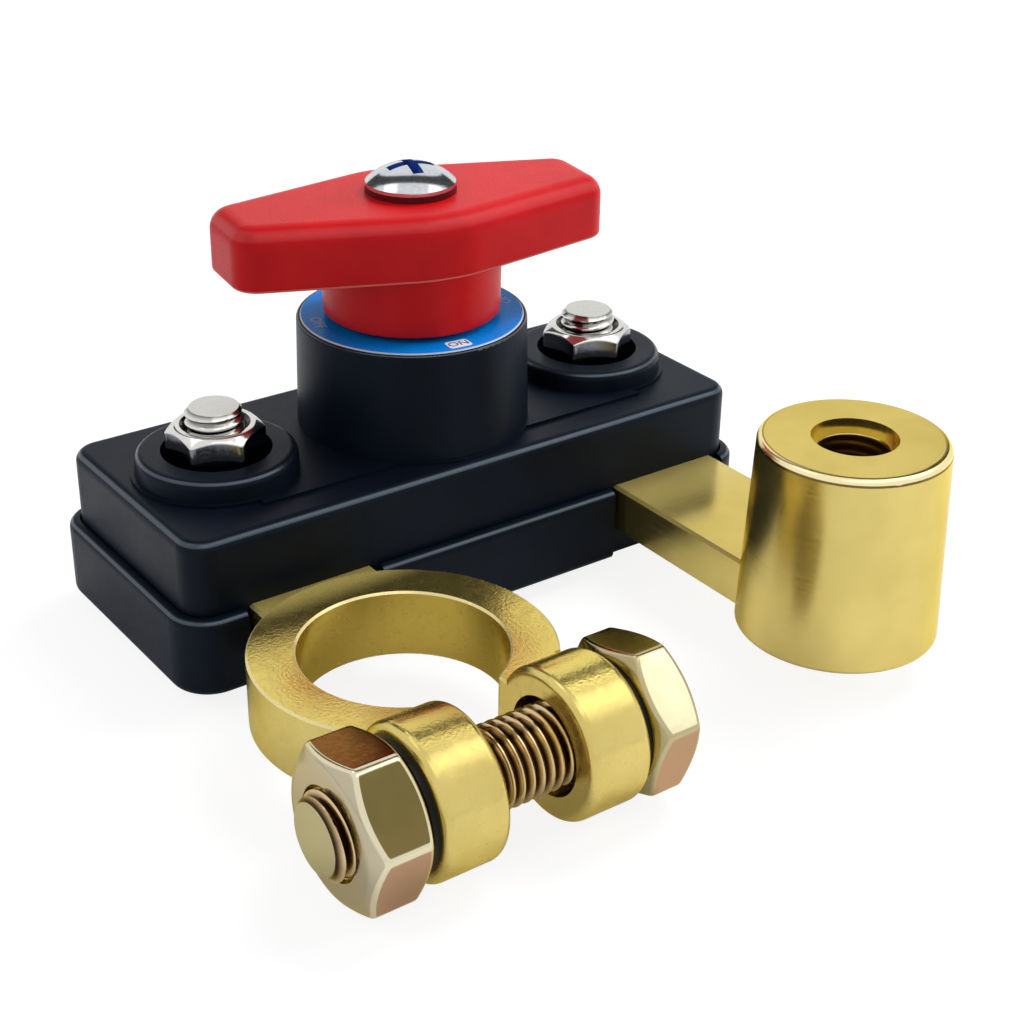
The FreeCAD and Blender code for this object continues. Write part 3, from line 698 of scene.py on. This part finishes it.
def nickel(name):
    """Nickel plate, with painted shade inside the mouths of the nuts and painted dark reflections on its
    upright faces.
    """
    base, roughness = (0.66, 0.65, 0.62), 0.13
    look = Look(name).set(metallic=1.0)
    scuff = look.noise(0.5, 4, 0.7, stretch=(1, 1, 3))
    cloud = look.noise(2.5, 2)
    plate = look.blend(look.ramp(cloud, 0.3, 0.7), base, tuple(c * 1.08 for c in base))
    # Painted reflection: upright faces are darkened
    dark_flat_reflection = look.ramp(look.math("ABSOLUTE", look.xyz(look.normal)[2]), 0.12, 0.4, 1, 0)
    plate = look.blend(dark_flat_reflection, plate, (0.20, 0.21, 0.23))
    # Painted shade inside the mouths of the nuts
    mouth = look.ramp(from_studs(look)[0], (STUD_RADIUS + 0.5) * MM, (STUD_RADIUS + 0.56) * MM, 1, 0)
    look.into(look.blend(mouth, plate, (0.035, 0.035, 0.035)), "Base Color")
    look.into(look.ramp(scuff, 0.35, 0.7, roughness * 0.7, roughness * 1.6), "Roughness")
    look.bump(scuff, 0.003, 0.5)
    return look.mat


def stud_metal():
    """Nickel thread with painted shade in its roots and a brushed end face."""
    look = Look("nickel_thread").set(metallic=1.0)
    radius, z = from_studs(look)
    # Painted shade: the thread is darker towards its roots
    height = look.ramp(radius, (STUD_RADIUS - 0.5) * MM, (STUD_RADIUS - 0.05) * MM)
    end = look.ramp(z, (STUD_TOP - 0.06) * MM, (STUD_TOP - 0.02) * MM)
    brushed = look.noise(0.3, 4, 0.7, stretch=(1, 8, 1))
    metal = look.blend(height, (0.16, 0.15, 0.145), (0.68, 0.67, 0.64))
    pale = look.blend(look.ramp(brushed, 0.35, 0.7), (0.62, 0.62, 0.58), (0.78, 0.78, 0.74))
    look.into(look.blend(end, metal, pale), "Base Color")
    look.into(look.ramp(end, 0, 1, 0.16, 0.42, smooth=False), "Roughness")
    look.bump(brushed, 0.01, look.ramp(end, 0, 1, 0.1, 0.9, smooth=False))
    return look.mat


def zinc(name, turn, colours, low_end, high_end):
    """Yellow passivated zinc on a hexagon laid along X, turned by turn degrees.

    Each flat's colour is the passivation's yellow with painted reflection and shade, set by which way the
    flat faces. colours: upper flat, front flat, lower flat, end face, edges.
    Between low_end and high_end, in millimetres along X, the hexagon stands clear of any thread.
    """
    look = Look(name).set(metallic=1.0, specular_tint=(1.0, 0.86, 0.5))
    cloud = look.noise(5.0, 3)
    fine = look.noise(0.4, 3)
    upper, front, lower, end, edge_highlight = colours
    n = look.xyz(look.normal)
    ends = look.math("ABSOLUTE", n[0])
    # How squarely the surface faces along the axis or one of the flats: 1 on them, less on edges
    near = ends
    for k in range(3):
        angle = math.radians(turn + 30 + 60 * k)
        side = look.math("ADD", look.math("MULTIPLY", n[1], math.sin(angle)),
                         look.math("MULTIPLY", n[2], -math.cos(angle)))
        near = look.math("MAXIMUM", near, look.math("ABSOLUTE", side))
    edge = look.ramp(near, 0.9985, 0.985)
    # Painted reflection and shade: each flat gets its own colour by which way it faces
    colour = look.blend(look.ramp(cloud, 0.3, 0.7), front, tuple(c * 1.15 for c in front))
    colour = look.blend(look.ramp(n[2], 0.2, 0.0), colour, lower)
    colour = look.blend(look.ramp(n[2], 0.82, 0.93), colour, upper)
    colour = look.blend(look.ramp(ends, 0.35, 0.6), colour, end)
    # Painted highlight along the edges between the flats, but not on the cone
    cone = look.ramp(ends, 0.78, 0.85, 1.0, 0.0)
    colour = look.blend(look.math("MULTIPLY", edge, cone), colour, edge_highlight)
    # Painted shade: darker thread roots, and a dark mouth round the bolt in the nut
    radius = look.distance((0, BOLT_Y, BOLT_Z), keep=(0, 1, 1))
    share = look.ramp(radius, BOLT_RADIUS - 0.55, BOLT_RADIUS - 0.05)
    threads = look.blend(share, (0.05, 0.022, 0.010), (0.66, 0.50, 0.28))
    mouth = look.ramp(radius, BOLT_RADIUS + 0.02, BOLT_RADIUS + 0.08)
    threads = look.blend(mouth, threads, (0.025, 0.012, 0.006))
    place = look.xyz(look.place)[0]
    tip = look.ramp(place, (BOLT_TIP + 0.03) * MM, (BOLT_TIP + 0.08) * MM, 1, 0)
    threads = look.blend(tip, threads, (0.46, 0.43, 0.27))
    clear = look.math("MULTIPLY", look.math("GREATER_THAN", place, low_end * MM),
                      look.math("LESS_THAN", place, high_end * MM))
    outside = look.ramp(radius, BOLT_RADIUS + 0.30, BOLT_RADIUS + 0.36)
    colour = look.blend(look.math("MAXIMUM", outside, clear), threads, colour)
    look.into(colour, "Base Color")
    look.into(look.ramp(fine, 0.3, 0.7, 0.12, 0.22), "Roughness")
    look.bump(fine, 0.003, 0.5)
    return look.mat


def spring_steel():
    """Near black and slightly mottled, for the clamp bolt's two washers."""
    look = Look("dark_spring_steel").set(specular_ior_level=0.15)
    fine = look.noise(0.3, 3)
    dark, paler = (0.005, 0.004, 0.004), (0.012, 0.010, 0.008)
    look.into(look.blend(look.ramp(fine, 0.3, 0.7), dark, paler), "Base Color")
    look.into(look.ramp(fine, 0.3, 0.7, 0.3, 0.45), "Roughness")
    look.bump(fine, 0.005, 0.5)
    return look.mat


def blue_dial():
    """Anodised plate with a bare bright rim."""
    look = Look("dial_blue").set(specular_ior_level=0.07, specular_tint=(0.25, 0.6, 1.0))
    radius = look.distance((0, 0, 0), keep=(1, 1, 0))
    rim = look.ramp(radius, DIAL_BLUE_RADIUS, DIAL_BLUE_RADIUS + 0.06)
    cloud = look.noise(5.0, 3)
    brushed = look.noise(0.6, 2, stretch=(1, 6, 1))
    blue = look.blend(look.ramp(cloud, 0.3, 0.7), (0.001, 0.245, 0.82), (0.001, 0.27, 0.90))
    look.into(look.blend(rim, blue, (0.62, 0.68, 0.74)), "Base Color")
    look.into(look.ramp(brushed, 0.3, 0.7, 0.26, 0.32), "Roughness")
    look.bump(brushed, 0.001, 0.3)
    return look.mat


def screw_steel():
    """Polished dome with deep blue paint in the cross recess."""
    look = Look("handle_screw_plate")
    # The dome is part of a sphere; what lies inside the sphere near the axis is the recess
    crown = (SCREW_RADIUS ** 2 + DOME_HEIGHT ** 2) / (2 * DOME_HEIGHT)
    centre = (0, 0, BAR_TOP + PAD_HEIGHT + RIM_HEIGHT + DOME_HEIGHT - crown)
    inside = look.ramp(look.distance(centre), crown - 0.07, crown - 0.03, 1, 0)
    near = look.ramp(look.distance((0, 0, 0), keep=(1, 1, 0)), 2.6, 2.9, 1, 0)
    paint = look.math("MULTIPLY", inside, near)
    fine = look.noise(0.4, 3)
    steel = look.blend(look.ramp(fine, 0.3, 0.7), (0.58, 0.60, 0.63), (0.64, 0.66, 0.69))
    look.into(look.blend(paint, steel, (0.02, 0.075, 0.36)), "Base Color")
    look.into(look.ramp(paint, 0, 1, 1.0, 0.0, smooth=False), "Metallic")
    rough = look.ramp(paint, 0, 1, 0.1, 0.4)
    look.into(look.math("ADD", look.math("MULTIPLY", fine, 0.05), rough), "Roughness")
    look.bump(fine, 0.002, 0.4)
    return look.mat


def plain_metal(name, low, high, roughness):
    """Bare metal whose colour wanders between two values."""
    look = Look(name).set(metallic=1.0)
    fine = look.noise(0.5, 3)
    look.into(look.blend(look.ramp(fine, 0.3, 0.7), low, high), "Base Color")
    look.into(look.ramp(fine, 0.3, 0.7, roughness * 0.8, roughness * 1.3), "Roughness")
    look.bump(fine, 0.004, 0.5)
    return look.mat


def rubber():
    """Matt black rubber."""
    look = Look("seal_rubber")
    fine = look.noise(0.3, 3)
    look.into(look.blend(look.ramp(fine, 0.3, 0.7), (0.012, 0.012, 0.012), (0.03, 0.03, 0.03)), "Base Color")
    look.into(look.ramp(fine, 0.3, 0.7, 0.5, 0.75), "Roughness")
    look.bump(fine, 0.01, 0.5)
    return look.mat


def ink(name, low, high):
    """Printed colour that wanders slightly between two values."""
    look = Look(name)
    fine = look.noise(0.2, 2)
    look.into(look.blend(look.ramp(fine, 0.3, 0.7), low, high), "Base Color")
    look.into(look.ramp(fine, 0.3, 0.7, 0.4, 0.55), "Roughness")
    return look.mat


def paint_nodes():
    """Gives every node that keeps its own shape a material, and returns the nickel plate."""
    black = black_moulding("housing_black")
    looks = {
        "base": black, "cover": black,
        "rotor": black_moulding("rotor_black", (0.012, 0.012, 0.013)),
        "clamp_terminal": sandy_brass(),
        "post_terminal": satin_brass(),
        "handle": red_moulding(),
        "handle_screw": screw_steel(),
        "dial_plate": blue_dial(),
        "spindle_seal": rubber(),
    }
    plate = nickel("nickel_plate")
    looks.update({"stud_washer_left": plate, "stud_washer_right": plate})
    copper = plain_metal("copper", (0.72, 0.36, 0.22), (0.82, 0.45, 0.30), 0.25)
    looks.update({"contact_left": copper, "contact_right": copper, "contact_bridge": copper})
    washer = spring_steel()
    looks.update({"clamp_washer_nut": washer, "clamp_washer_head": washer})
    steel = plain_metal("machined_steel", (0.42, 0.42, 0.43), (0.55, 0.55, 0.56), 0.28)
    looks.update({"spindle": steel, "rotor_spring": steel})
    looks.update({"cover_screw_%d" % k: steel for k in (1, 2, 3, 4)})
    for name, mat in looks.items():
        mesh = nodes[name].data
        mesh.materials.clear()
        mesh.materials.append(mat)
    return plate


# Pieces

def add_studs(plate):
    metal = stud_metal()
    for side, name in ((-1, "left"), (1, "right")):
        x = side * STUD_X
        rod = threaded_rod(STUD_RADIUS, STUD_PITCH, STUD_LOW + STUD_HEAD_HEIGHT - ROD_IN_HEAD, STUD_TOP,
                           tip_chamfer=0.5, depth_share=0.4)
        head = hex_shell(flats=9.0, height=STUD_HEAD_HEIGHT, crown=0.5, corner_round=0.25, inner=0.0)
        part = joined(placed(rod, move=(x, 0, 0)), placed(head, move=(x, 0, STUD_LOW)))
        add_piece("thread_stud_" + name, *part, "housing", "nickel_plate", metal,
                  replaced=("stud_" + name,), sharp=28)
        nut = nut_part(STUD_NUT_FLATS, STUD_NUT_TOP - STUD_NUT_LOW, crown=0.455, corner_round=0.45,
                       radius=STUD_RADIUS, pitch=STUD_PITCH, mouth=0.5, edge_round=0.16, slant=38)
        nut = placed(nut, turn=STUD_NUT_TURN, move=(x, 0, STUD_NUT_LOW))
        even_normals(add_piece("hex_nut_" + name, *nut, "stud_nut_" + name, "nickel_plate", plate,
                               replaced=("stud_nut_" + name,), sharp=50))


def even_normals(piece):
    """Keeps flats looking flat beside their rounded edges."""
    modifier = piece.modifiers.new("normals", "WEIGHTED_NORMAL")
    modifier.keep_sharp = True


def add_clamp_bolt():
    length = BOLT_HEAD - BOLT_TIP
    rod = threaded_rod(BOLT_RADIUS, BOLT_PITCH, -ROD_IN_HEAD, length, tip_chamfer=0.7)
    # The tip is the bolt's far end from the head, so the rod is turned end for end
    flipped = ([(x, -y, length - z) for x, y, z in rod[0]], rod[1])
    head = hex_shell(BOLT_FLATS, BOLT_END - BOLT_HEAD, crown=0.45, corner_round=0.7, inner=0.0,
                     edge_round=0.3)
    part = joined(placed(flipped, move=(BOLT_TIP, BOLT_Y, BOLT_Z), along_x=True),
                  placed(head, turn=BOLT_HEAD_TURN, move=(BOLT_HEAD, BOLT_Y, BOLT_Z), along_x=True))
    # Passivation colours with painted reflection and shade on each flat
    film_and_reflection = ((0.085, 0.060, 0.022), (0.86, 0.80, 0.52), (0.50, 0.31, 0.22), (0.40, 0.34, 0.18),
            (0.50, 0.43, 0.24))
    look = zinc("yellow_zinc_bolt", BOLT_HEAD_TURN, film_and_reflection, BOLT_HEAD, BOLT_END + 1)
    even_normals(add_piece("threaded_clamp_bolt", *part, "housing", "yellow_zinc", look,
                           replaced=("clamp_bolt",), sharp=28))
    nut = nut_part(BOLT_FLATS, CLAMP_NUT_HIGH - CLAMP_NUT_LOW, crown=0.44, corner_round=0.9,
                   radius=BOLT_RADIUS, pitch=BOLT_PITCH, mouth=0.35, edge_round=0.35)
    nut = placed(nut, turn=CLAMP_NUT_TURN, move=(CLAMP_NUT_LOW, BOLT_Y, BOLT_Z), along_x=True)
    # Passivation colours with painted reflection and shade on each flat
    film_and_reflection = ((0.22, 0.085, 0.036), (0.17, 0.13, 0.045), (0.50, 0.31, 0.24), (0.50, 0.44, 0.31),
            (0.72, 0.66, 0.46))
    look = zinc("yellow_zinc_nut", CLAMP_NUT_TURN, film_and_reflection, 0, 0)
    even_normals(add_piece("hex_clamp_nut", *nut, "clamp_nut", "yellow_zinc", look,
                           replaced=("clamp_nut",), sharp=50))


def add_post_thread(mat):
    """Thread in the post's hole, which fades in below the mouth."""
    root = POST_HOLE_RADIUS - 0.03
    top = POST_TOP - POST_MOUTH_DEPTH
    thread = thread_surface(root - 0.08, root, POST_THREAD_PITCH, POST_TOP - POST_THREAD_DEPTH, top,
                            lambda z: root - max(0, min(0.3, top - z)) * 0.85, inside=True)
    add_piece("post_thread", *placed(thread, move=(POST_X, POST_Y, 0)), "housing", "turned_brass", mat)


def flat_text(name, text, size, x, y, turn, z, mat, body, stretch=1.0):
    """Thin printed word, size high in millimetres, turned by turn degrees."""
    curve = bpy.data.curves.new(name, "FONT")
    curve.body = text
    curve.size = size * MM
    curve.align_x = "CENTER"
    curve.align_y = "CENTER"
    curve.offset = INK_SPREAD * MM
    curve.extrude = INK_SPREAD * MM
    holder = bpy.data.objects.new(name + "_curve", curve)
    bpy.context.scene.collection.objects.link(holder)
    bpy.context.view_layer.update()
    mesh = bpy.data.meshes.new_from_object(holder.evaluated_get(bpy.context.evaluated_depsgraph_get()))
    bpy.data.objects.remove(holder)
    mesh.transform(Matrix.Translation(Vector((x, y, z)) * MM) @ Matrix.Rotation(math.radians(turn), 4, "Z")
                   @ Matrix.Diagonal((stretch, 1, 1, 1)))
    mesh.materials.clear()
    mesh.materials.append(mat)
    piece = bpy.data.objects.new(name, mesh)
    bpy.context.scene.collection.objects.link(piece)
    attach(piece, body)
    return piece


def rounded_plate(name, length, width, radius, thickness, x, y, turn, z, mat, body, slot):
    """Thin plate with rounded corners and a slight bevel."""
    outline = []
    for cx, cy, start in ((1, 1, 0), (-1, 1, 90), (-1, -1, 180), (1, -1, 270)):
        for k in range(7):
            angle = math.radians(start + 15 * k)
            outline.append((cx * (length / 2 - radius) + radius * math.cos(angle),
                            cy * (width / 2 - radius) + radius * math.sin(angle)))
    count = len(outline)
    levels = [(1.0, 0.0), (1.0, thickness * 0.6), (0.985, thickness)]
    verts = [(px * s, py * s, pz) for s, pz in levels for px, py in outline]
    faces = [tuple(reversed(range(count))), tuple(2 * count + k for k in range(count))]
    for level in (0, 1):
        for k in range(count):
            n = (k + 1) % count
            low, high = level * count, (level + 1) * count
            faces.append((low + k, low + n, high + n, high + k))
    part = placed((verts, faces), turn=turn, move=(x, y, z))
    return add_piece(name, *part, body, slot, mat, sharp=30)


def add_dial_marks():
    white = ink("mark_white", (0.88, 0.91, 0.94), (0.94, 0.96, 0.98))
    dark = ink("mark_dark", (0.03, 0.10, 0.30), (0.05, 0.14, 0.36))
    faint = ink("mark_faint", (0.16, 0.34, 0.60), (0.22, 0.40, 0.66))
    z = DIAL_TOP
    for number, (angle, text) in enumerate(((-96, "ON"), (84, "ON"), (166, "OFF"), (-14, "OFF")), 1):
        a = math.radians(angle)
        x, y = MARK_RADIUS * math.cos(a), MARK_RADIUS * math.sin(a)
        turn = angle + 90
        label = "mark_text_%d" % number
        if text == "ON":
            rounded_plate("mark_plate_%d" % number, 2.4, 1.6, 0.35, BADGE_THICKNESS, x, y, turn, z, white,
                          "housing", "dial_blue")
            flat_text(label, text, 1.3, x, y, turn, z + BADGE_THICKNESS, dark, "housing", 1.05)
        else:
            flat_text(label, text, 1.5, x, y, turn, z, faint, "housing", 1.1)


add_camera()
add_studio()
plate = paint_nodes()
add_studs(plate)
add_clamp_bolt()
add_post_thread(nodes["post_terminal"].data.materials[0])
add_dial_marks()

bpy.context.scene.view_settings.view_transform = "Standard"
